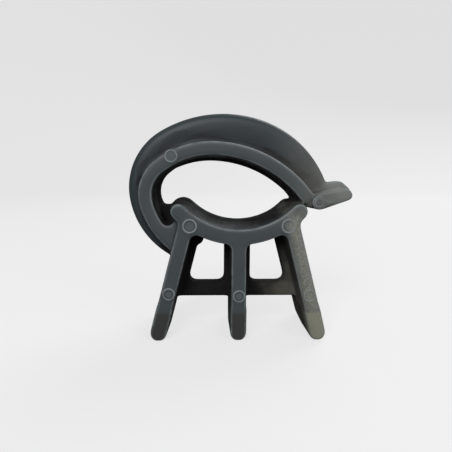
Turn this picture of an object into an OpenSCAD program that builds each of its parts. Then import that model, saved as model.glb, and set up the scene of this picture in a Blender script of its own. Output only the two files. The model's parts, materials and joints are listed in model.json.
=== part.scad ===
/* [Bar and cover] */
// Concrete cover: height of the bar seat above the formwork
cover = 20; // [19:0.5:25]
// Radius of the seat that the bar lies in
seat_r = 11.25; // [11.25:0.25:11.5]
// Angle that the seat's rib takes up on each side of its lowest point
seat_reach = 46; // [45:1:47]

/* [Mouldings] */
// Front-to-back depth of the legs, the saddle and the tab
depth = 14; // [12:0.5:16]
// How far the arm's rib stands back from the front and rear faces
arm_setback = 1; // [1:0.25:1.25]
// Thickness of the web on the mid-plane
web_t = 3; // [2.4:0.2:3.2]
// Wall of the arm's rib at the faces
rib_t = 2.3; // [2.1:0.05:2.6]
// Wall of the saddle's rib at the faces
saddle_t = 2.6; // [2.6:0.05:2.7]
// How far the web stands out past the saddle's rib, the horns and the tab
web_margin = 1.05; // [1:0.05:1.1]
// Mould draft on the sides of every rib, in degrees
draft = 1.5; // [1:0.25:2]
// Mould draft on the saddle's upper side, in degrees
saddle_draft = 3.5; // [2:0.5:4]

/* [Legs] */
// Distance between the tips of the two outer legs
foot_span = 26.7; // [25:0.1:28]
// Lean of the outer legs, in degrees from upright
splay = 14.6; // [14.4:0.2:14.8]
// Thickness of a leg above its foot
leg_t = 2.5; // [2.45:0.05:2.5]
// Thickness of a foot
foot_t = 2.7; // [2.6:0.05:2.9]
// Height of the crease below which the feet narrow front to back
crease_z = 5.2; // [4:0.2:5.8]
// How far the feet narrow at each face, at the ground
foot_taper = 0.5; // [0.1:0.1:0.8]
// Width of the flat that each foot stands on
foot_flat = 0.9; // [0.6:0.1:1.2]

/* [Panel] */
// Height of the panel's lower edge
panel_z = 6.2; // [6:0.1:6.8]
// Height of the windows' lower edge
window_z = 8.7; // [8.2:0.1:9.5]
// Strip of panel left between a window and a leg
window_margin = 1.4; // [0.9:0.1:1.6]
// Radius of the windows' lower corners
window_r = 1.1; // [0.5:0.1:1.2]

/* [Hidden] */
$fn = 80;

// Outlines are drawn as seen from the front, x to the right and y up, and depth runs along
// z: the whole chair is drawn lying on its back and stood up at the end.
half = depth / 2;
arm_half = half - arm_setback;
nose_r = web_t / 2;
// Strip of web that is swept together with each of its round edges
rim = 2.3;
axis = [0, cover + seat_r];

// Each edge of the clip is a chain of tangent arcs, [radius, sweep in degrees], that runs
// from its highest point down the left and down the right.
web_crown = [-2.33, cover + 17.94];
web_left = [[21.55, 30.3], [11.43, 69.7], [14.13, 53]];
web_right = [[21.55, 14.2], [18.47, 57]];
rib_crown = [-4.38, cover + 13];
rib_left = [[14.88, 39.4], [6.77, 65.8], [14.09, 45]];
rib_right = [[14.88, 2], [20.75, 51.8]];
mouth_crown = [-4.63, cover + 9.94];
mouth_left = [[14.29, 26.1], [4.17, 100]];
mouth_right = [[14.29, 2.4], [19.07, 52]];
// The arcs of the arm's rib lap by this angle, each slimmer by the step than the one before it
joint_lap = 0.5;
joint_step = 0.01;
// A blade's round end laps its straight part by this angle on each side
end_lap = 10;

saddle_in = seat_r + web_margin;
saddle_out = saddle_in + saddle_t;
horn_r = saddle_t / 2;
mouth_gap = 0.2;
// The ridge inside the saddle ends in a puck of this radius, at this angle on the left
ridge_reach = 44;
ridge_end_r = 2.3;
ridge_end_hole = 0.4;

// Fillets are cut this much into the sides that they meet
bite = 0.06;
fillet_wall = 0.9;
horn_fillet = 1.6;
leg_fillet = 1.1;

// Foot of the slot between the arm and the saddle, as angles about the seat's axis
slot_r = 0.85;
slot_turn = 222.8;
slot_end = 205;
slot_wall = 1.85;
slot_bite = 0.15;
// Right-hand end and top of the web that fills the slot's foot
slot_web_top = cover + 2.45;
slot_web_x = -13.4;

foot_r = foot_t / 2 - joint_step;
tip_z = sqrt(foot_r * foot_r - foot_flat * foot_flat / 4);
lean = tan(splay);
// Each foot overlaps its leg by this much
foot_lap = 0.6;
// Heights at which the middle leg and the side legs run out inside the saddle
root_z = axis[1] - saddle_out + 0.4 * saddle_t;
side_root_z = root_z + 2.6;

panel_top = cover - 1.4;
panel_bite = 0.3 * saddle_t;
window_inner = 2.3;
window_top = 0.5;
// Stub in the left window: [x from the window's side, y above the seat]
stub_outline = [[-0.7, -4.75], [0.8, -4.4], [1.2, -3.7], [1.2, -2.5], [-0.7, -2.5]];

// Neck that joins the arm's rib to the tab: [x, y above the seat]
neck_outline = [[10.25, 3.3], [11.6, 2.2], [13.2, 2.6], [13.2, 4], [12.4, 4.4], [11.9, 4.4]];
// [x, y above the seat, corner radius] round the tab and round the web that stands over it
tab_outline = [[11.7, 2.15, 0.6], [13.2, 2.1, 1.5], [18.8, 4.05, 0.8],
    [17.4, 5.7, 0.8], [12.3, 4.5, 0.6]];
tab_web_outline = [[13.6, 3.2, 0], [18.7, 4.05, 0.6], [20.2, 4.65, 0.6],
    [17.9, 6.6, 0.7], [15.3, 6.3, 0], [13.6, 4.5, 0]];
// Raised pin boss on the tab, with a tail that runs out along it
boss_at = [12.66, 3.3];
boss_d = 2.4;
boss_h = 0.3;
tail_tip = [15, 3.4];

// Ejector pins: where they stand, [x, y above the seat] on the saddle and [x, y] on the
// legs, how far in from the arm's outer side and how far round its crown, and the diameters
saddle_mark = [7.95, -0.5];
leg_marks = [[-11.45, 8.3], [0.05, 7.9], [11.7, 7.9]];
arm_mark_in = 0.87;
arm_mark_turn = 117.5;
saddle_mark_d = 2.4;
mark_d = 2.1;
mark_rim = 0.2;
mark_h = 0.1;

// How far a cutting body stands past what it cuts
over = 1;

// ---- Geometry of chains ----
function unit(a) = [cos(a), sin(a)];
function direction(v) = atan2(v[1], v[0]);
function swept(arcs, n) = n == 0 ? 0 : swept(arcs, n - 1) + arcs[n - 1][1];
function turn_at(arcs, side, n) = 90 + side * swept(arcs, n);
function centre(crown, arcs, side, n) = n == 0
    ? crown - [0, arcs[0][0]]
    : centre(crown, arcs, side, n - 1)
      + (arcs[n - 1][0] - arcs[n][0]) * unit(turn_at(arcs, side, n));

// Points along a chain, moved outwards by a distance: one every few degrees
function chain_points(crown, arcs, side, out, step = 6) = [
    for (n = [0 : len(arcs) - 1])
    for (k = [0 : 1 : ceil(arcs[n][1] / step) - (n < len(arcs) - 1 ? 1 : 0)])
    let (a = turn_at(arcs, side, n) + side * min(k * step, arcs[n][1]))
    centre(crown, arcs, side, n) + (arcs[n][0] + out) * unit(a)
];

function reversed(list) = [for (i = [len(list) - 1 : -1 : 0]) list[i]];

// An outline with each corner replaced by an arc of its own radius: points are [x, y, r]
function rounded(points) = [
    for (i = [0 : len(points) - 1])
    let (
        count = len(points),
        p = [points[i][0], points[i][1]],
        before = [points[(i + count - 1) % count][0], points[(i + count - 1) % count][1]],
        after = [points[(i + 1) % count][0], points[(i + 1) % count][1]],
        u = (before - p) / norm(before - p),
        v = (after - p) / norm(after - p),
        half_turn = acos(u * v) / 2,
        r = points[i][2],
        bisector = (u + v) / norm(u + v),
        hub = p + bisector * r / sin(half_turn),
        start = p + u * r / tan(half_turn) - hub,
        end = p + v * r / tan(half_turn) - hub,
        a0 = atan2(start[1], start[0]),
        da = (atan2(end[1], end[0]) - a0 + 540) % 360 - 180
    )
    each r == 0 ? [p] : [for (k = [0 : 6]) hub + r * unit(a0 + da * k / 6)]
];

// ---- Sections: x is the distance across the rib, y is the depth ----
// One drafted side of a rib that reaches to +-h
function side_line(h, angle = draft) = [[0, h], [h * tan(angle), 0], [0, -h]];

// A rib from x = -wall to x = 0, with its inner side drafted by its own angle
function rib_section(h, wall, inner = draft) = concat(
    side_line(h),
    [for (p = reversed(side_line(h, inner))) [-wall - p[0], p[1]]]
);

// The web's full-round edge at x = 0, with a strip of the web behind it
function nose_section(strip) = concat(
    [[-strip, -nose_r]],
    [for (k = [-4 : 4]) nose_r * unit(k * 22.5) - [nose_r, 0]],
    [[-strip, nose_r]]
);

// Half of a blade's section, for its round end
function half_section(h, wall) = concat(
    [[0, h]],
    [for (p = side_line(h)) p + [wall / 2, 0]],
    [[0, -h]]
);

// ---- Building blocks ----
// Sweeps a section along both sides of a loop, right end to left end. With a lap, each arc
// reaches that far into the one before it, and $slim tells the section how much to shrink.
module along_loop(crown, left, right, lap = 0) {
    for (side = [-1, 1]) {
        arcs = side < 0 ? right : left;
        for (n = [1 : len(arcs) - 1]) {
            from = turn_at(arcs, side, n);
            $slim = n * joint_step;
            translate(centre(crown, arcs, side, n))
                rotate(side < 0 ? from - arcs[n][1] : from - lap)
                rotate_extrude(angle = arcs[n][1] + lap)
                translate([arcs[n][0], 0])
                children();
        }
    }
    $slim = 0;
    translate(crown - [0, left[0][0]])
        rotate(90 - right[0][1])
        rotate_extrude(angle = left[0][1] + right[0][1])
        translate([left[0][0], 0])
        children();
}

// A straight rib from p to q
module bar(p, q, wall, h) {
    run = q - p;
    translate(p)
        rotate(direction(run) + 90)
        rotate([90, 0, 0])
        linear_extrude(norm(run))
        translate([wall / 2, 0])
        polygon(rib_section(h, wall));
}

// The round end of a rib, from one direction on, slimmer by the step than the rib
module round_end(from, wall, h) {
    rotate(from - end_lap)
        rotate_extrude(angle = 180 + 2 * end_lap)
        polygon(half_section(h - joint_step, wall - 2 * joint_step));
}

// A straight rib with a round end at q
module blade(p, q, wall, h) {
    bar(p, q, wall, h);
    translate(q)
        round_end(direction(q - p) - 90, wall, h);
}

// A fillet of radius r about hub, from one direction to another, as a strip of rib
module fillet(hub, r, from, to, wall, h) {
    translate(hub)
        rotate(from)
        rotate_extrude(angle = to - from)
        translate([r + bite, 0])
        mirror([1, 0])
        polygon(rib_section(h, wall));
}

module web_plate() {
    linear_extrude(web_t, center = true)
        children();
}

// ---- The clip ----
module arm() {
    along_loop(rib_crown, rib_left, rib_right, joint_lap)
        translate([-$slim, 0])
        polygon(rib_section(arm_half - $slim, rib_t - 2 * $slim));
    linear_extrude(2 * arm_half, center = true)
        polygon([for (p = neck_outline) p + [0, cover]]);
}

// The plate ends inside the strips that carry the web's rounded edges
module crescent() {
    inset = (nose_r + rim) / 2;
    web_plate()
        polygon(concat(
            reversed(chain_points(web_crown, web_right, -1, -inset)),
            chain_points(web_crown, web_left, 1, -inset),
            reversed(chain_points(mouth_crown, mouth_left, 1, inset)),
            chain_points(mouth_crown, mouth_right, -1, inset)));
    along_loop(web_crown, web_left, web_right)
        polygon(nose_section(rim));
    along_loop(mouth_crown, mouth_left, mouth_right)
        mirror([1, 0])
        polygon(nose_section(rim));
}

// ---- The saddle ----
function horn_at(side) = axis + (saddle_in + saddle_t / 2) * unit(270 + side * seat_reach);

module saddle() {
    translate(axis)
        rotate(270 - seat_reach)
        rotate_extrude(angle = 2 * seat_reach)
        translate([saddle_out, 0])
        polygon(rib_section(half, saddle_t, saddle_draft));
    for (side = [-1, 1])
        translate(horn_at(side))
            round_end(side < 0 ? 90 - seat_reach : seat_reach - 90, saddle_t, half);
}

// The web shows as a ridge inside the saddle and as a rim round its left end. The right
// end has no rim, because the arm closes the mouth just above it.
module saddle_web() {
    translate(axis)
        rotate(270 - seat_reach)
        rotate_extrude(angle = 2 * seat_reach)
        translate([seat_r, 0])
        mirror([1, 0])
        polygon(nose_section(web_margin + saddle_t / 2));
    translate(axis + (seat_r + ridge_end_r) * unit(270 - ridge_reach))
        rotate_extrude()
        translate([ridge_end_r, 0])
        polygon(nose_section(ridge_end_r - ridge_end_hole));
}

// ---- The legs: side is -1 for the left one, 0 for the middle one and 1 for the right one ----
function leg_x(side, z) = side * (foot_span / 2 - (z - tip_z) * lean);
function leg_point(side, z) = [leg_x(side, z), z];
function leg_side(side, z) = leg_x(side, z) - side * leg_t / 2 / cos(splay);

// Hub of a fillet of radius r that touches the saddle's lower side and a leg's side; across
// is +1 on the leg's right and -1 on its left
function root_hub(foot, lean_angle, across, r) = let (
        up = unit(90 + lean_angle),
        aside = unit(lean_angle) * across,
        start = foot + aside * (leg_t / 2 + r),
        d = start - axis,
        reach = saddle_out + r,
        along = -(up * d) - sqrt(pow(up * d, 2) - d * d + reach * reach)
    ) start + up * along;

module root_fillet(foot, lean_angle, across, r) {
    hub = root_hub(foot, lean_angle, across, r);
    to_leg = across > 0 ? lean_angle + 180 : lean_angle;
    to_saddle = direction(axis - hub);
    fillet(hub, r, min(to_leg, to_saddle), max(to_leg, to_saddle), fillet_wall, half);
}

module leg(from, side) {
    bar(from, leg_point(side, crease_z), leg_t, half);
    blade(leg_point(side, crease_z + foot_lap), leg_point(side, tip_z), foot_t, half);
}

module legs() {
    leg([0, root_z], 0);
    for (side = [-1, 1]) {
        leg(leg_point(side, side_root_z), side);
        root_fillet(leg_point(side, tip_z), side * splay, -side, leg_fillet);
        root_fillet([0, tip_z], 0, side, leg_fillet);
    }
    root_fillet(leg_point(1, tip_z), splay, 1, horn_fillet);
}

// Closes the foot of the slot between the arm's rib and the left end of the saddle
module slot_foot() {
    hub = axis + (saddle_out + slot_r) * unit(slot_turn);
    fillet(hub, slot_r + slot_bite, slot_end, slot_turn + 180, slot_wall, arm_half);
}

module slot_web() {
    web_plate()
        polygon([
            [leg_x(-1, cover - 2), cover - 2],
            [horn_at(-1)[0], slot_web_top],
            [slot_web_x, slot_web_top],
            [slot_web_x, cover]
        ]);
}

// ---- The panel between the legs ----
module window(side) {
    outer = side * window_margin;
    difference() {
        linear_extrude(web_t + 2 * over, center = true)
            polygon(rounded([
                [side * window_inner, window_z, window_r],
                [leg_side(side, window_z) - outer, window_z, window_r],
                [leg_side(side, cover) - outer, cover, 0],
                [side * window_inner, cover, 0]
            ]));
        translate(axis)
            cylinder(h = web_t + 4 * over, r = saddle_out + window_top, center = true);
    }
}

module panel() {
    difference() {
        web_plate()
            polygon([
                leg_point(-1, panel_z),
                leg_point(1, panel_z),
                leg_point(1, panel_top),
                leg_point(-1, panel_top)
            ]);
        translate(axis)
            cylinder(h = web_t + 2 * over, r = saddle_out - panel_bite, center = true);
        for (side = [-1, 1])
            window(side);
    }
    translate([leg_side(-1, cover - 5) + window_margin, cover])
        web_plate()
        polygon(stub_outline);
}

// ---- The tab that the arm is opened by ----
module tab() {
    linear_extrude(depth, center = true)
        polygon(rounded([for (p = tab_outline) p + [0, cover, 0]]));
    web_plate()
        polygon(rounded([for (p = tab_web_outline) p + [0, cover, 0]]));
}

// ---- Marks of the ejector pins on the front: a thin ring round a flat disc ----
module pin_mark(at, h, d = mark_d) {
    translate([at[0], at[1], h - mark_h])
        difference() {
            cylinder(h = 2 * mark_h, d = d);
            translate([0, 0, mark_h / 2])
                cylinder(h = 2 * mark_h, d = d - 2 * mark_rim);
        }
}

module pin_boss() {
    translate([0, cover, half - boss_h])
        linear_extrude(2 * boss_h) {
            translate(boss_at)
                circle(d = boss_d);
            polygon([boss_at + [0, 0.4 * boss_d], boss_at - [0, 0.4 * boss_d], tail_tip]);
        }
}

module pin_marks() {
    pin_mark(centre(rib_crown, rib_left, 1, 0)
        + (rib_left[0][0] - arm_mark_in) * unit(arm_mark_turn), arm_half);
    for (side = [-1, 1])
        pin_mark([side * saddle_mark[0], cover + saddle_mark[1]], half, saddle_mark_d);
    for (place = leg_marks)
        pin_mark(place, half);
    pin_boss();
}

// ---- Cuts ----
// Narrows the feet towards the ground at the front and the rear
module foot_cuts() {
    deep = half + over;
    high = crease_z + over;
    low = -2 * over;
    function side_at(z) = half - foot_taper * (crease_z - z) / crease_z;
    for (flip = [0, 1])
        mirror([0, 0, flip])
            rotate([0, -90, 0])
            linear_extrude(2 * foot_span, center = true)
            polygon([[side_at(high), high], [deep, high], [deep, low], [side_at(low), low]]);
}

module ground_cut() {
    translate([-foot_span, -foot_span, -foot_span])
        cube(foot_span * [2, 1, 2]);
}

// Clears the arm from the saddle's right end, so that the mouth stays open
module mouth_cut() {
    r = horn_r + mouth_gap;
    translate(horn_at(1))
        rotate_extrude()
        polygon([[0, half + over], [r, half + over], [r + half * tan(draft), 0],
            [r, -half - over], [0, -half - over]]);
}

module clip_chair() {
    color("#4a5052")
        rotate([90, 0, 0])
        difference() {
            union() {
                difference() {
                    union() {
                        arm();
                        crescent();
                    }
                    mouth_cut();
                }
                saddle();
                saddle_web();
                legs();
                slot_foot();
                slot_web();
                panel();
                tab();
                pin_marks();
            }
            foot_cuts();
            ground_cut();
        }
}

clip_chair();
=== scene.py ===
# %% [markdown]
# # A rebar chair, moulded in one piece
#
# A rebar chair holds a reinforcing bar at a set height above the formwork, so that the bar is
# covered by enough concrete. This one is a single injection moulding in dark grey plastic:
# three legs joined by a thin panel, a saddle for the bar, and a springy arm that snaps over it.
#
# The exact solid comes from the CAD model. This script gives it what a solid doesn't have:
# the soft edges of a moulding, the marks of the ejector pins, the plastic with its scuffs and
# its painted highlights and shade, the dust of the building site, and the studio around it.

# %% Load the solid and note its box
import json
import math

import bmesh
import bpy
import numpy as np
from mathutils import Matrix, Vector


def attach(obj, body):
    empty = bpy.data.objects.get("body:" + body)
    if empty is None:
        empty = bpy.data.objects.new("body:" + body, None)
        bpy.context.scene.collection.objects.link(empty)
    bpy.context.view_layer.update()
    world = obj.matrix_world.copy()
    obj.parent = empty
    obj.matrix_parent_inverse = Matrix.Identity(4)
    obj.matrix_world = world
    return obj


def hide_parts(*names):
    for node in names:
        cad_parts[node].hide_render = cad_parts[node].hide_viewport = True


MM = 0.001
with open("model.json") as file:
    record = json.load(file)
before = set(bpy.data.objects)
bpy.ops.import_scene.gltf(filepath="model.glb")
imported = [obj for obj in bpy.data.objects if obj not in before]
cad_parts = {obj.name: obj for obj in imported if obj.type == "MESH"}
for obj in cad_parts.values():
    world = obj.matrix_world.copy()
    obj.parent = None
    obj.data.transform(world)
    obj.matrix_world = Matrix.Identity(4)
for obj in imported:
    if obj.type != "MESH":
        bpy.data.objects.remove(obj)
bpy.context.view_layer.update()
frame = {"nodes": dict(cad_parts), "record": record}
solid = frame["nodes"]["clip_chair"]

# %% [markdown]
# ## The driving dimensions
#
# A few sizes of the chair are needed again here, to place the pin marks. The record's mount
# for the bar gives the height of the bar's middle, and the concrete cover is that height less
# the radius of the seat. The rest repeats the CAD model's values, in millimetres.

# %% Take the dimensions
mounts = {m["name"]: m for m in frame["record"]["mounts"]}
seat = mounts["bar_seat"]
SEAT_RADIUS = 11.25
COVER = seat["pos_m"][2] / MM - SEAT_RADIUS
HALF_DEPTH = 7.0
ARM_SETBACK = 1.0
print("cover:", round(COVER, 2), "mm")

# %% [markdown]
# ## Small helpers
#
# Modifiers do much of the work here. Each is set on a draft object, which is then turned into a
# plain mesh and thrown away. Every finished piece keeps its object at the origin, with its place
# in its mesh, and rides on the one body of the chair, which the last helper sees to.

# %% Helpers for pieces and meshes
def add_object(name, data):
    """A new object for a mesh, a light or a camera, linked into the scene."""
    added = bpy.data.objects.new(name, data)
    bpy.context.scene.collection.objects.link(added)
    return added


def baked(draft, name):
    """The mesh that a draft's modifiers make, as a mesh of its own. The draft is removed."""
    graph = bpy.context.evaluated_depsgraph_get()
    mesh = bpy.data.meshes.new_from_object(draft.evaluated_get(graph))
    mesh.name = name
    bpy.data.objects.remove(draft)
    return mesh


def vertex_array(mesh, field):
    """One vector per vertex, such as its place or its normal, as rows of three."""
    values = np.empty(len(mesh.vertices) * 3)
    mesh.vertices.foreach_get(field, values)
    return values.reshape(-1, 3)


def finish_piece(piece, material):
    """Gives a piece its plastic and lets it ride on the chair's body."""
    piece.data.materials.clear()
    piece.data.materials.append(material)
    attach(piece, "root")
    return piece


# %% [markdown]
# ## Shader group: mould grain
#
# A mould is spark-eroded or blasted, so the plastic takes on a fine grain. Both finishes of the
# chair need it, so it is a node group: it takes the object's own coordinates and gives a normal
# with the grain in it, and a cloudy mask for slight changes of colour.

# %% Helpers for node groups
def new_group(name, inputs, outputs, kind="ShaderNodeTree"):
    """A node group with named sockets: inputs are (name, type, default)."""
    group = bpy.data.node_groups.new(name, kind)
    for label, socket_type, default in inputs:
        socket = group.interface.new_socket(label, in_out="INPUT", socket_type=socket_type)
        if default is not None:
            socket.default_value = default
    for label, socket_type in outputs:
        group.interface.new_socket(label, in_out="OUTPUT", socket_type=socket_type)
    return group


def add_node(tree, kind, inputs=None, **settings):
    """A node with its settings, and its inputs set from values or linked from sockets."""
    node = tree.nodes.new(kind)
    for key, value in settings.items():
        setattr(node, key, value)
    for key, value in (inputs or {}).items():
        if isinstance(value, bpy.types.NodeSocket):
            tree.links.new(value, node.inputs[key])
        else:
            node.inputs[key].default_value = value
    return node


def add_scaled(tree, vector, factor):
    """A vector made longer or shorter."""
    values = {0: vector, "Scale": factor}
    return add_node(tree, "ShaderNodeVectorMath", values, operation="SCALE").outputs["Vector"]


def add_noise(tree, place, scale, detail):
    """Noise about 0.5, with its scale in clouds to each unit of the place."""
    inputs = {"Vector": place, "Scale": scale, "Detail": detail}
    return add_node(tree, "ShaderNodeTexNoise", inputs).outputs["Fac"]


def in_millimetres(tree, place):
    """A place in metres as a place in millimetres, so that scales and distances read well."""
    return add_scaled(tree, place, 1 / MM)


# %% Build the mould grain
VECTOR = "NodeSocketVector"
FLOAT = "NodeSocketFloat"
GRAIN_RELIEF = 0.04 * MM
CLOUDS_PER_MM = 0.22

grain_group = new_group(
    "Mould grain",
    [("Place", VECTOR, None), ("Grain per mm", FLOAT, 6.0), ("Depth", FLOAT, 0.2)],
    [("Normal", VECTOR), ("Cloud", FLOAT)],
)
ends = add_node(grain_group, "NodeGroupInput").outputs
in_mm = in_millimetres(grain_group, ends["Place"])
fine = add_noise(grain_group, in_mm, ends["Grain per mm"], detail=2.0)
cloud = add_noise(grain_group, in_mm, CLOUDS_PER_MM, detail=3.0)
bump = add_node(
    grain_group,
    "ShaderNodeBump",
    {"Strength": ends["Depth"], "Distance": GRAIN_RELIEF, "Height": fine},
)
add_node(grain_group, "NodeGroupOutput", {"Normal": bump.outputs["Normal"], "Cloud": cloud})
print("group:", grain_group.name)

# %% [markdown]
# ## Shader group: site dust and shade
#
# The chair has lain on its right side in the dirt, and cement dust has dried on it in several
# layers. The same group also paints the chair paler towards its right, and paints shade on the
# feet. Each layer gets thicker along one direction, stops at some height, and breaks up into
# patches and specks, so its mask is a slope across the chair that a noise eats into. The same
# group makes every layer, with its own direction and distances.

# %% Helpers for masks
def add_math(tree, operation, first, second=0.0, third=0.0, clamp=False):
    """The output of a Math node."""
    values = {0: first, 1: second, 2: third}
    node = add_node(tree, "ShaderNodeMath", values, operation=operation, use_clamp=clamp)
    return node.outputs[0]


def add_dot(tree, first, second):
    """How far one vector reaches along another of length 1."""
    node = add_node(tree, "ShaderNodeVectorMath", {0: first, 1: second}, operation="DOT_PRODUCT")
    return node.outputs["Value"]


def add_component(tree, vector, axis):
    """The X, Y or Z of a vector."""
    return add_node(tree, "ShaderNodeSeparateXYZ", {"Vector": vector}).outputs[axis]


def add_ramp(tree, value, start, end):
    """0 below start, 1 above end, and smooth between them."""
    inputs = {"Value": value, "From Min": start, "From Max": end}
    node = add_node(tree, "ShaderNodeMapRange", inputs, interpolation_type="SMOOTHSTEP")
    return node.outputs["Result"]


# %% Build the site dust and shade
PATCHES_PER_MM = 0.5
SPECKS_PER_MM = 4.5
# The noise at which specks begin, and at which they are full
SPECK_START = 0.42
SPECK_FULL = 0.7
MIDDLE_OF_NOISE = 0.5
PATCH_GAIN = 4.0

dust_and_shade_group = new_group(
    "Site dust and shade",
    [
        ("Place", VECTOR, None),
        ("Direction", VECTOR, (1.0, 0.0, 0.0)),
        ("Clean at mm", FLOAT, 4.0),
        ("Covered at mm", FLOAT, 16.0),
        ("Top mm", FLOAT, 60.0),
        ("Fade mm", FLOAT, 4.0),
        ("Patchiness", FLOAT, 0.5),
    ],
    [("Dust", FLOAT), ("Specks", FLOAT)],
)
ends = add_node(dust_and_shade_group, "NodeGroupInput").outputs
in_mm = in_millimetres(dust_and_shade_group, ends["Place"])
along = add_dot(dust_and_shade_group, in_mm, ends["Direction"])
slope = add_ramp(dust_and_shade_group, along, ends["Clean at mm"], ends["Covered at mm"])
height = add_component(dust_and_shade_group, in_mm, "Z")
below_top = add_math(dust_and_shade_group, "SUBTRACT", ends["Top mm"], height)
faded = add_ramp(dust_and_shade_group, below_top, 0.0, ends["Fade mm"])
reached = add_math(dust_and_shade_group, "MULTIPLY", slope, faded)
patches = add_noise(dust_and_shade_group, in_mm, PATCHES_PER_MM, detail=4.0)
uneven = add_math(dust_and_shade_group, "SUBTRACT", patches, MIDDLE_OF_NOISE)
uneven = add_math(dust_and_shade_group, "MULTIPLY", uneven, ends["Patchiness"])
uneven = add_math(dust_and_shade_group, "MULTIPLY_ADD", uneven, PATCH_GAIN, reached)
dust = add_math(dust_and_shade_group, "MULTIPLY", uneven, reached, clamp=True)
specks = add_noise(dust_and_shade_group, in_mm, SPECKS_PER_MM, detail=4.0)
speckled = add_ramp(dust_and_shade_group, specks, SPECK_START, SPECK_FULL)
dusty_specks = add_math(dust_and_shade_group, "MULTIPLY", speckled, dust)
add_node(dust_and_shade_group, "NodeGroupOutput", {"Dust": dust, "Specks": dusty_specks})
print("group:", dust_and_shade_group.name)

# %% [markdown]
# ## Shader group: rib faces
#
# The flat front and rear faces of the ribs are painted paler than the webs and flanks between
# them, which lie deeper: this is painted shade for the recesses between the ribs. The faces are
# where the depth is greatest, so this mask is a ramp on the distance from the mid-plane.

# %% Build the rib faces
face_group = new_group(
    "Rib faces",
    [("Place", VECTOR, None), ("Deep mm", FLOAT, 3.5), ("Face mm", FLOAT, 5.9)],
    [("Face", FLOAT)],
)
ends = add_node(face_group, "NodeGroupInput").outputs
in_mm = in_millimetres(face_group, ends["Place"])
from_middle = add_math(face_group, "ABSOLUTE", add_component(face_group, in_mm, "Y"))
# 1 on the faces, which are painted paler; 0 on the webs, which keep the darker painted shade
face = add_ramp(face_group, from_middle, ends["Deep mm"], ends["Face mm"])
add_node(face_group, "NodeGroupOutput", {"Face": face})
print("group:", face_group.name)

# %% [markdown]
# ## Shader group: scuffed and highlit edges
#
# The convex edges are painted paler: partly worn by handling, partly a painted highlight where
# the rounded edges catch the light. The mesh carries an attribute that says how sharply each
# point of it stood out before its edges were rounded, and this group turns it into a mask with a
# little noise in it for the worn patches.

# %% Build the scuffed and highlit edges
WEAR_PER_MM = 0.8
WEAR_START = 0.2
WEAR_FULL = 0.7
LEAST_WEAR = 0.4
# How far an edge stands out where it begins to scuff and take a painted highlight, and where both
# are strongest
EDGE_START = 0.05
EDGE_FULL = 0.8

edge_group = new_group(
    "Scuffed and highlit edges",
    [("Place", VECTOR, None), ("Edge", FLOAT, 0.0), ("Amount", FLOAT, 1.0)],
    [("Scuff and highlight", FLOAT)],
)
ends = add_node(edge_group, "NodeGroupInput").outputs
in_mm = in_millimetres(edge_group, ends["Place"])
wear_and_highlight = add_noise(edge_group, in_mm, WEAR_PER_MM, detail=3.0)
worn = add_ramp(edge_group, wear_and_highlight, WEAR_START, WEAR_FULL)
worn = add_math(edge_group, "ADD", worn, LEAST_WEAR)
# The convex edges are painted paler: partly worn, partly a painted highlight
convex = add_ramp(edge_group, ends["Edge"], EDGE_START, EDGE_FULL)
scuff_and_highlight = add_math(edge_group, "MULTIPLY", convex, worn)
scuff_and_highlight = add_math(edge_group, "MULTIPLY", scuff_and_highlight, ends["Amount"], clamp=True)
add_node(edge_group, "NodeGroupOutput", {"Scuff and highlight": scuff_and_highlight})
print("group:", edge_group.name)

# %% [markdown]
# ## The plastic
#
# Recycled plastic, coloured with a little carbon black, has a cold dark grey and a satin
# surface. The pin marks are of the same plastic, only a little paler where the pin bruised it,
# so one function makes both finishes. It builds them up in layers: plastic; rib faces painted
# paler than the deeper webs, as painted shade; painted shade, nearly black, in the recesses; the
# layers of dust, with a paler right side and painted shade on the feet; and last the edges,
# painted paler as worn and highlit.

# %% Colours of the plastic, the dust and the painted light and shade
def screen_colour(red, green, blue):
    """A colour as a screen shows it, from 0 to 255, as the linear values that shaders use."""
    linear = [((c / 255 + 0.055) / 1.055) ** 2.4 for c in (red, green, blue)]
    return (*linear, 1.0)


PLASTIC = screen_colour(42, 48, 51)
# The rib faces' colour: painted paler than the deeper webs, as painted shade of the recesses
LIT_FACE = screen_colour(56, 61, 63)
# Edges painted paler: partly worn by handling, partly a painted highlight
SCUFF_AND_HIGHLIGHT = screen_colour(106, 112, 113)
# The pin marks' face colour: as painted paler as the rib faces, and paler where the pin bruised
BRUISED = screen_colour(70, 76, 78)
# Painted shade: the nearly black colour of the deepest recesses
RECESS_SHADE = screen_colour(13, 12, 12)
# The chair is painted paler towards its right in this colour
PALE_TOWARDS_RIGHT = screen_colour(84, 85, 82)
DRIED_MUD = screen_colour(84, 80, 72)
# Painted shade on the feet below the crease, with a warm tint
FOOT_SHADE = screen_colour(44, 41, 40)
CRUST = screen_colour(100, 101, 94)
SPECKS = screen_colour(140, 140, 132)
FOOT_CRUST = screen_colour(114, 115, 101)
TAB_BLOOM = screen_colour(104, 106, 103)
print("plastic:", [round(c, 4) for c in PLASTIC[:3]])

# %% Say where the dust, the paler colour and the painted shade lie
DOWN = (0.0, 0.0, -1.0)
# Square to the outer side of the right leg, which leans
OUT_OF_RIGHT_LEG = (0.968, 0.0, 0.252)

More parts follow.
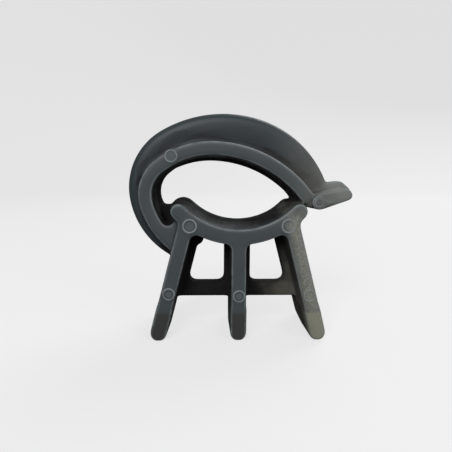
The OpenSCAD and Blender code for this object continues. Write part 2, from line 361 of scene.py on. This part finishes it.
# Every layer of dirt, of paler colour and of painted shade, from the undermost to the topmost:
# its name, its colour, how much of the plastic it hides at most, and where it lies
LAYERS = [
    # Paler towards the right, from 1 mm to 15 mm across
    ("film", PALE_TOWARDS_RIGHT, 0.65, {"Clean at mm": 1.0, "Covered at mm": 15.0, "Patchiness": 0.25}),
    (
        "mud",
        DRIED_MUD,
        0.6,
        {"Clean at mm": 1.5, "Covered at mm": 9.0, "Top mm": 13.0, "Fade mm": 5.0},
    ),
    # Painted shade on the feet: darker towards the bottom, below about 5 mm
    (
        "damp",
        FOOT_SHADE,
        0.7,
        {"Direction": DOWN, "Clean at mm": -5.9, "Covered at mm": -4.6, "Patchiness": 0.1},
    ),
    (
        "crust",
        CRUST,
        0.8,
        {
            "Direction": OUT_OF_RIGHT_LEG,
            "Clean at mm": 11.0,
            "Covered at mm": 13.6,
            "Top mm": 25.0,
            "Fade mm": 6.0,
            "Patchiness": 0.3,
        },
    ),
    (
        "foot crust",
        FOOT_CRUST,
        0.9,
        {
            "Clean at mm": 9.0,
            "Covered at mm": 10.5,
            "Top mm": 5.2,
            "Fade mm": 0.25,
            "Patchiness": 0.2,
        },
    ),
    ("bloom", TAB_BLOOM, 0.8, {"Clean at mm": 11.5, "Covered at mm": 17.0, "Patchiness": 0.1}),
]
print("layers of dirt:", ", ".join(layer[0] for layer in LAYERS))


# %% Helpers for the finishes
def mixed(tree, factor, first, second):
    """The colour output of a Mix node, whose colour sockets are found by number."""
    return add_node(
        tree, "ShaderNodeMix", {0: factor, 6: first, 7: second}, data_type="RGBA"
    ).outputs[2]


def placed_group(tree, group, inputs):
    """A copy of a shader group in a material."""
    return add_node(tree, "ShaderNodeGroup", inputs, node_tree=group)


def mesh_attribute(tree, name):
    """A value that the mesh carries at each of its points."""
    return add_node(tree, "ShaderNodeAttribute", attribute_name=name).outputs["Fac"]


SPECK_SHARE = 0.55
# The bloom on the tab begins at the first height and is full at the second
BLOOM_START = 20.0 * MM
BLOOM_FULL = 22.0 * MM


def dust_and_shade_layers(tree, place, face):
    """The share and colour of each layer of dust, paleness or painted shade, and of the crust's
    specks.
    """
    height = add_component(tree, place, "Z")
    only_on = {
        "foot crust": face,
        "bloom": add_ramp(tree, height, BLOOM_START, BLOOM_FULL),
    }
    result = []
    for name, tint, most, distances in LAYERS:
        node = placed_group(tree, dust_and_shade_group, {"Place": place, **distances})
        share = add_math(tree, "MULTIPLY", node.outputs["Dust"], most)
        if name in only_on:
            share = add_math(tree, "MULTIPLY", share, only_on[name])
        result.append((share, tint))
        if name == "crust":
            share = add_math(tree, "MULTIPLY", node.outputs["Specks"], SPECK_SHARE)
            result.append((share, SPECKS))
    return result


# %% Make the two finishes
# Shares of a point's rays that meet the chair: where the painted shade begins, and where it is
# full
RECESS_OPEN = 0.12
RECESS_BLACK = 0.45
LEAST_FACE_LIGHT = 0.5
EDGE_SCUFF_AND_HIGHLIGHT = 0.8
DUST_ROUGHNESS = 0.4
SHEEN = 0.22


def make_plastic(name, lit_face_colour, roughness):
    """A plastic with grain, site dust, paler faces, painted shade and painted edge highlights."""
    material = bpy.data.materials.new(name)
    material.use_nodes = True
    tree = material.node_tree
    shader = tree.nodes["Principled BSDF"]
    place = add_node(tree, "ShaderNodeTexCoord").outputs["Object"]
    grain = placed_group(tree, grain_group, {"Place": place})
    face = placed_group(tree, face_group, {"Place": place}).outputs["Face"]

    # The rib faces are painted paler, in clouds, than the deeper webs: painted shade of the
    # recesses
    cloudy = add_math(tree, "ADD", grain.outputs["Cloud"], LEAST_FACE_LIGHT)
    lit_face = add_math(tree, "MULTIPLY", face, cloudy)
    colour = mixed(tree, lit_face, PLASTIC, lit_face_colour)
    # Painted shade: the deeper a point lies in a recess, the nearer it is painted to black
    recess_shade = add_ramp(tree, mesh_attribute(tree, "recess"), RECESS_OPEN, RECESS_BLACK)
    colour = mixed(tree, recess_shade, colour, RECESS_SHADE)
    covered_or_shaded = recess_shade
    for share, tint in dust_and_shade_layers(tree, place, face):
        colour = mixed(tree, share, colour, tint)
        covered_or_shaded = add_math(tree, "MAXIMUM", share, covered_or_shaded)
    # Edges painted paler, worn and highlit, except where the recesses are painted in shade
    wear_and_highlight = {"Place": place, "Edge": mesh_attribute(tree, "edge"), "Amount": EDGE_SCUFF_AND_HIGHLIGHT}
    scuff_and_highlight = placed_group(tree, edge_group, wear_and_highlight).outputs["Scuff and highlight"]
    unshaded = add_math(tree, "SUBTRACT", 1.0, recess_shade)
    bare_or_highlit = add_math(tree, "MULTIPLY", scuff_and_highlight, unshaded)
    colour = mixed(tree, bare_or_highlit, colour, SCUFF_AND_HIGHLIGHT)
    tree.links.new(colour, shader.inputs["Base Color"])

    # Dust and the painted shade of the recesses both make the plastic duller
    dulled = add_math(tree, "MULTIPLY_ADD", covered_or_shaded, DUST_ROUGHNESS, roughness)
    tree.links.new(dulled, shader.inputs["Roughness"])
    tree.links.new(grain.outputs["Normal"], shader.inputs["Normal"])
    shader.inputs["Specular IOR Level"].default_value = SHEEN
    return material


plastic = make_plastic("moulded plastic", lit_face_colour=LIT_FACE, roughness=0.48)
bruised_plastic = make_plastic("bruised plastic", lit_face_colour=BRUISED, roughness=0.5)
print("materials:", plastic.name, "and", bruised_plastic.name)

# %% [markdown]
# ## How deep a point lies in a recess
#
# The corners and bays of the chair are painted nearly black, as painted shade, the more the
# deeper they lie. How deep a point lies is measured by Geometry Nodes: from every point of the
# skin, rays go out in many directions, and the share that soon meets the chair again is kept as
# the attribute "recess".
# The directions are spread over a sphere by the golden angle, and each is turned to the side
# on which the skin faces. A ray counts for more the straighter it leaves the skin.

# %% Build the tree that measures recesses
RAYS = 28
RAY_LENGTH = 12 * MM
RAY_START = 0.05 * MM
GOLDEN_ANGLE = math.pi * (3 - math.sqrt(5))


def new_geometry_tree(name, inputs):
    """A Geometry Nodes tree that takes and gives geometry, with named inputs."""
    geometry = ("Geometry", "NodeSocketGeometry")
    return new_group(name, [(*geometry, None), *inputs], [geometry], kind="GeometryNodeTree")


def with_attribute(tree, geometry, name, value):
    """The geometry with a number kept at each of its points."""
    return add_node(
        tree,
        "GeometryNodeStoreNamedAttribute",
        {"Geometry": geometry, "Name": name, "Value": value},
        data_type="FLOAT",
        domain="POINT",
    ).outputs["Geometry"]


def sphere_directions(count):
    """Unit vectors spread evenly over a sphere."""
    directions = []
    for k in range(count):
        height = 1 - (2 * k + 1) / count
        radius = math.sqrt(1 - height * height)
        turn = k * GOLDEN_ANGLE
        directions.append((radius * math.cos(turn), radius * math.sin(turn), height))
    return directions


recess_tree = new_geometry_tree(
    "Recess", [("Ray length", FLOAT, RAY_LENGTH), ("Ray start", FLOAT, RAY_START)]
)
ends = add_node(recess_tree, "NodeGroupInput").outputs
facing = add_node(recess_tree, "GeometryNodeInputNormal").outputs["Normal"]
here = add_node(recess_tree, "GeometryNodeInputPosition").outputs["Position"]
lift = add_scaled(recess_tree, facing, ends["Ray start"])
source = add_node(recess_tree, "ShaderNodeVectorMath", {0: here, 1: lift}, operation="ADD")
met = 0.0
cast = 0.0
for direction in sphere_directions(RAYS):
    lean = add_dot(recess_tree, facing, direction)
    outward = add_scaled(recess_tree, direction, add_math(recess_tree, "SIGN", lean))
    ray = add_node(
        recess_tree,
        "GeometryNodeRaycast",
        {
            "Target Geometry": ends["Geometry"],
            "Source Position": source.outputs["Vector"],
            "Ray Direction": outward,
            "Ray Length": ends["Ray length"],
        },
    )
    weight = add_math(recess_tree, "ABSOLUTE", lean)
    met = add_math(recess_tree, "MULTIPLY_ADD", ray.outputs["Is Hit"], weight, met)
    cast = add_math(recess_tree, "ADD", cast, weight)
share_met = add_math(recess_tree, "DIVIDE", met, cast)
measured = with_attribute(recess_tree, ends["Geometry"], "recess", share_met)
add_node(recess_tree, "NodeGroupOutput", {"Geometry": measured})
print("tree:", recess_tree.name, "with", len(recess_tree.nodes), "nodes")

# %% [markdown]
# ## The moulding
#
# A mould's edges are never sharp: the cutter leaves them round, and so does the plastic, which
# doesn't fill a sharp corner. Rounding a CAD solid's edges by a bevel often fails where many
# fillets meet. Here a copy of the solid is turned into a fine, even voxel skin instead, which is
# then smoothed a little: flat and gently curved faces stay where they are, and every edge and
# every inner corner takes on a radius of a few tenths of a millimetre.
#
# How far the smoothing drew each point in is kept as the attribute "edge", for the scuffs and
# the painted highlights on the edges: it is high on the convex edges and nothing on the flats.

# %% Helpers that round the edges of a solid
WELD = 0.001 * MM
VOXEL = 0.12 * MM
SMOOTHING = 0.5
SMOOTHING_ROUNDS = 90


def welded_copy(source, name):
    """A copy of a CAD node's mesh with its loose triangles joined."""
    mesh = source.data.copy()
    mesh.name = name
    loose = bmesh.new()
    loose.from_mesh(mesh)
    bmesh.ops.remove_doubles(loose, verts=loose.verts, dist=WELD)
    loose.to_mesh(mesh)
    loose.free()
    return mesh


def voxel_skin(mesh, name):
    """An even skin of small squares over a closed mesh."""
    draft = add_object("draft", mesh)
    remesh = draft.modifiers.new("skin", "REMESH")
    remesh.mode = "VOXEL"
    remesh.voxel_size = VOXEL
    return baked(draft, name)


def smoothed(mesh, name):
    """The same skin with its edges rounded."""
    draft = add_object("draft", mesh)
    smooth = draft.modifiers.new("round", "SMOOTH")
    smooth.factor = SMOOTHING
    smooth.iterations = SMOOTHING_ROUNDS
    return baked(draft, name)


sharp_skin = voxel_skin(welded_copy(solid, "welded"), "sharp skin")
round_skin = smoothed(sharp_skin, "round skin")
print("skin:", len(round_skin.polygons), "squares")

# %% Keep the edges for the scuffs and painted highlights, and make the moulding
FULL_SCUFF_AND_HIGHLIGHT = 0.30 * MM
TRIANGLES = 180_000


def thinned(mesh, name, triangles):
    """A lighter copy of a mesh of squares, with the recesses measured on it."""
    draft = add_object("draft", mesh)
    fewer = draft.modifiers.new("thin", "DECIMATE")
    fewer.ratio = triangles / (2 * len(mesh.polygons))
    draft.modifiers.new("recess", "NODES").node_group = recess_tree
    return baked(draft, name)


drawn_in = vertex_array(sharp_skin, "co") - vertex_array(round_skin, "co")
outward = np.sum(drawn_in * vertex_array(round_skin, "normal"), axis=1)
edge = round_skin.attributes.new("edge", "FLOAT", "POINT")
edge.data.foreach_set("value", np.clip(outward / FULL_SCUFF_AND_HIGHLIGHT, -1, 1).astype(np.float32))
moulding = add_object("moulding", thinned(round_skin, "moulding", TRIANGLES))
moulding.data.shade_smooth()
finish_piece(moulding, plastic)
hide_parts("clip_chair")
print("moulding:", len(moulding.data.polygons), "faces; edge", round(outward.max() / MM, 3), "mm")

# %% [markdown]
# ## The marks of the ejector pins
#
# When the mould opens, steel pins push the chair out of it. Each leaves a round witness: a thin
# raised ring, where plastic crept into the gap round the pin, and a flat disc within it. All of
# them are the same shape at different sizes, so Geometry Nodes make them: the tree puts one ring
# and one disc on every point of a mesh that holds nothing but the pins' places and sizes. The
# mark is made 1 wide, and only its width grows with the pin, not its height.

# %% Say where the pins stand
FRONT = -HALF_DEPTH
ARM_FRONT = ARM_SETBACK - HALF_DEPTH
# The mark on the tab's boss stands this far in front of those on the legs
BOSS_RISE = 0.2
BOSS_FRONT = FRONT - BOSS_RISE
LARGE_PIN = 2.4
SMALL_PIN = 2.1
BOSS_PIN = 1.45

# Where each pin stood, across, front to back and up, and the diameter of its mark
pins = [
    (-10.84, ARM_FRONT, COVER + 10.55, SMALL_PIN),
    (-7.95, FRONT, COVER - 0.5, LARGE_PIN),
    (7.95, FRONT, COVER - 0.5, LARGE_PIN),
    (-11.45, FRONT, 8.3, SMALL_PIN),
    (0.05, FRONT, 7.9, SMALL_PIN),
    (11.7, FRONT, 7.9, SMALL_PIN),
    (12.66, BOSS_FRONT, COVER + 3.3, BOSS_PIN),
]
pin_points = bpy.data.meshes.new("pin places")
pin_points.from_pydata([[c * MM for c in pin[:3]] for pin in pins], [], [])
sizes = pin_points.attributes.new("pin size", "FLOAT", "POINT")
sizes.data.foreach_set("value", [pin[3] * MM for pin in pins])
print("pins:", len(pins))

# %% Build the tree that makes the marks
SIDES = 64
PROFILE_SIDES = 12
MARK_RADIUS = 0.5

pin_tree = new_geometry_tree(
    "Pin marks",
    [
        ("Ring width", FLOAT, 0.13),
        ("Ring height", FLOAT, 0.098 * MM),
        ("Disc height", FLOAT, 0.03 * MM),
        ("Material", "NodeSocketMaterial", None),
    ],
)
ends = add_node(pin_tree, "NodeGroupInput").outputs
size = add_node(
    pin_tree, "GeometryNodeInputNamedAttribute", {"Name": "pin size"}, data_type="FLOAT"
).outputs["Attribute"]
half_width = add_math(pin_tree, "DIVIDE", ends["Ring width"], 2.0)
radius = add_math(pin_tree, "SUBTRACT", MARK_RADIUS, half_width)
ring_path = add_node(
    pin_tree, "GeometryNodeCurvePrimitiveCircle", {"Resolution": SIDES, "Radius": radius}
).outputs["Curve"]
ring_profile = add_node(
    pin_tree,
    "GeometryNodeCurvePrimitiveCircle",
    {"Resolution": PROFILE_SIDES, "Radius": half_width},
).outputs["Curve"]
ring = add_node(
    pin_tree, "GeometryNodeCurveToMesh", {"Curve": ring_path, "Profile Curve": ring_profile}
).outputs["Mesh"]
flatter = add_math(pin_tree, "DIVIDE", ends["Ring height"], half_width)
flattened = add_node(
    pin_tree, "ShaderNodeCombineXYZ", {"X": 1.0, "Y": 1.0, "Z": flatter}
).outputs["Vector"]
low_ring = add_node(
    pin_tree, "GeometryNodeTransform", {"Geometry": ring, "Scale": flattened}
).outputs["Geometry"]
# The ring takes the full edge value, so it is painted as pale as a worn and highlit edge
pale_ring = with_attribute(pin_tree, low_ring, "edge", 1.0)
thickness = add_math(pin_tree, "MULTIPLY", ends["Disc height"], 2.0)
disc = add_node(
    pin_tree,
    "GeometryNodeMeshCylinder",
    {"Vertices": SIDES, "Radius": radius, "Depth": thickness},
).outputs["Mesh"]
mark = add_node(pin_tree, "GeometryNodeJoinGeometry")
for part in (disc, pale_ring):
    pin_tree.links.new(part, mark.inputs["Geometry"])
pin_scale = add_node(
    pin_tree, "ShaderNodeCombineXYZ", {"X": size, "Y": size, "Z": 1.0}
).outputs["Vector"]
placed = add_node(
    pin_tree,
    "GeometryNodeInstanceOnPoints",
    {
        "Points": ends["Geometry"],
        "Instance": mark.outputs["Geometry"],
        "Rotation": (math.radians(90), 0.0, 0.0),
        "Scale": pin_scale,
    },
).outputs["Instances"]
real = add_node(pin_tree, "GeometryNodeRealizeInstances", {"Geometry": placed}).outputs["Geometry"]
coated = add_node(
    pin_tree, "GeometryNodeSetMaterial", {"Geometry": real, "Material": ends["Material"]}
).outputs["Geometry"]
add_node(pin_tree, "NodeGroupOutput", {"Geometry": coated})
print("tree:", pin_tree.name, "with", len(pin_tree.nodes), "nodes")

# %% Make the marks a mesh
SHARP_FROM = math.radians(40)


def input_identifier(tree, label):
    """The identifier under which a modifier keeps one of the tree's inputs."""
    return next(item.identifier for item in tree.interface.items_tree if item.name == label)


draft = add_object("pin draft", pin_points)
nodes = draft.modifiers.new("pins", "NODES")
nodes.node_group = pin_tree
nodes[input_identifier(pin_tree, "Material")] = bruised_plastic
pin_marks = add_object("pin_marks", baked(draft, "pin marks"))
pin_marks.data.shade_smooth()
pin_marks.data.set_sharp_from_angle(angle=SHARP_FROM)
finish_piece(pin_marks, bruised_plastic)
print("pin marks:", len(pin_marks.data.polygons), "faces")

# %% [markdown]
# ## The studio
#
# The chair stands on a pale floor that curves up into a wall all round it, so that it has the
# same plain ground from every side. The floor is a lathe shape: one profile, a flat stretch and
# a quarter circle, turned round the upright axis. A glow that only the camera sees makes it
# pale and even, while its dark paint gives little light back, so the recesses stay dark.

# %% Helpers that turn a floor
FLOOR_RADIUS = 0.45
BEND_RADIUS = 0.30
WALL_HEIGHT = 0.55
BEND_STEPS = 16
TURNS = 96


def floor_profile():
    """(radius, height) along the floor, up the bend and up the wall."""
    points = [(0.0, 0.0), (FLOOR_RADIUS, 0.0)]
    for step in range(1, BEND_STEPS + 1):
        turn = math.radians(90) * step / BEND_STEPS
        radius = FLOOR_RADIUS + BEND_RADIUS * math.sin(turn)
        points.append((radius, BEND_RADIUS * (1 - math.cos(turn))))
    points.append((FLOOR_RADIUS + BEND_RADIUS, WALL_HEIGHT))
    return points


def lathe(profile, turns):
    """Vertices and faces of a profile turned round the upright axis, from its middle out."""
    vertices = [(0.0, 0.0, profile[0][1])]
    for radius, height in profile[1:]:
        for k in range(turns):
            angle = 2 * math.pi * k / turns
            vertices.append((radius * math.cos(angle), radius * math.sin(angle), height))
    faces = [(0, 1 + k, 1 + (k + 1) % turns) for k in range(turns)]
    for ring_index in range(len(profile) - 2):
        inner = 1 + ring_index * turns
        outer = inner + turns
        for k in range(turns):
            after = (k + 1) % turns
            faces.append((inner + k, outer + k, outer + after, inner + after))
    return vertices, faces


floor_vertices, floor_faces = lathe(floor_profile(), TURNS)
floor_mesh = bpy.data.meshes.new("floor")
floor_mesh.from_pydata(floor_vertices, [], floor_faces)
floor_mesh.shade_smooth()
floor = add_object("floor", floor_mesh)
print("floor:", len(floor_faces), "faces")

# %% Paint the floor
WHITE = (1.0, 1.0, 1.0, 1.0)
FLOOR_PAINT = (0.15, 0.15, 0.15, 1.0)
FLOOR_GLOW = 0.68
FLOOR_ROUGHNESS = 0.9
FLOOR_SHEEN = 0.1


def make_floor_paint():
    """A dull dark paint with a white glow that only the camera sees."""
    material = bpy.data.materials.new("floor paint")
    material.use_nodes = True
    tree = material.node_tree
    shader = tree.nodes["Principled BSDF"]
    shader.inputs["Base Color"].default_value = FLOOR_PAINT
    shader.inputs["Roughness"].default_value = FLOOR_ROUGHNESS
    shader.inputs["Specular IOR Level"].default_value = FLOOR_SHEEN
    shader.inputs["Emission Color"].default_value = WHITE
    seen = add_node(tree, "ShaderNodeLightPath").outputs["Is Camera Ray"]
    glow = add_math(tree, "MULTIPLY", seen, FLOOR_GLOW)
    tree.links.new(glow, shader.inputs["Emission Strength"])
    return material


floor_mesh.materials.append(make_floor_paint())
print("paint:", floor_mesh.materials[0].name)

# %% [markdown]
# ## The light
#
# One large soft light stands in front of the chair, a little to the left and above. It lights
# the flat faces evenly and leaves the bays between the legs dark, because dark plastic passes
# little light on; the painted shade in the recesses makes them nearly black. A weaker light on
# the right shows the dust there, one at the rear gives the chair's back a shape, and a pale sky
# keeps the rest readable.

# %% Place the lights
CHAIR_MIDDLE = Vector((0.0, 0.0, 19.0)) * MM


def soft_light(name, place, size, power):
    """A square soft light that faces the chair."""
    data = bpy.data.lights.new(name, "AREA")
    data.shape = "SQUARE"
    data.size = size
    data.energy = power
    light = add_object(name, data)
    light.location = place
    light.rotation_euler = (CHAIR_MIDDLE - light.location).to_track_quat("-Z", "Y").to_euler()


soft_light("key", place=(-0.14, -0.44, 0.30), size=0.26, power=2.8)
soft_light("fill", place=(0.34, -0.36, 0.20), size=0.30, power=1.0)
soft_light("rear", place=(0.26, 0.36, 0.42), size=0.40, power=2.4)

# %% Make the sky
SKY_STRENGTH = 0.3

world = bpy.data.worlds.new("sky")
world.use_nodes = True
sky = world.node_tree.nodes["Background"]
sky.inputs["Color"].default_value = WHITE
sky.inputs["Strength"].default_value = SKY_STRENGTH
bpy.context.scene.world = world
bpy.context.scene.view_settings.view_transform = "Standard"
print("sky:", SKY_STRENGTH)

# %% [markdown]
# ## The camera
#
# The camera stands close in front of the chair and a little above its middle, which is why the
# depth of the legs and of the saddle shows. It looks slightly down and to the right. Its three
# axes are worked out from those angles and make the columns of its matrix.

# %% Work out the camera's axes
LOOK_DOWN = math.radians(7.92)
LOOK_RIGHT = math.radians(1.55)
ROLL = math.radians(0.2)

ahead = Vector(
    (
        math.sin(LOOK_RIGHT) * math.cos(LOOK_DOWN),
        math.cos(LOOK_RIGHT) * math.cos(LOOK_DOWN),
        -math.sin(LOOK_DOWN),
    )
)
level_right = Vector((math.cos(LOOK_RIGHT), -math.sin(LOOK_RIGHT), 0.0))
level_up = level_right.cross(ahead)
right = level_right * math.cos(ROLL) + level_up * math.sin(ROLL)
up = level_up * math.cos(ROLL) - level_right * math.sin(ROLL)
axes = Matrix((right, up, -ahead)).transposed()
print("looks along:", [round(c, 3) for c in ahead])

# %% Place the camera
CAMERA_PLACE = Vector((-3.852, -70.636, 28.406)) * MM
SENSOR = 36.0
LENS = 32.08
NEAREST = 5 * MM
FARTHEST = 10.0

lens = bpy.data.cameras.new("camera")
lens.sensor_width = SENSOR
lens.lens = LENS
lens.clip_start = NEAREST
lens.clip_end = FARTHEST
camera = add_object("camera", lens)
camera.matrix_world = Matrix.Translation(CAMERA_PLACE) @ axes.to_4x4()
bpy.context.scene.camera = camera
print("camera:", [round(c / MM, 1) for c in camera.matrix_world.translation], "mm")
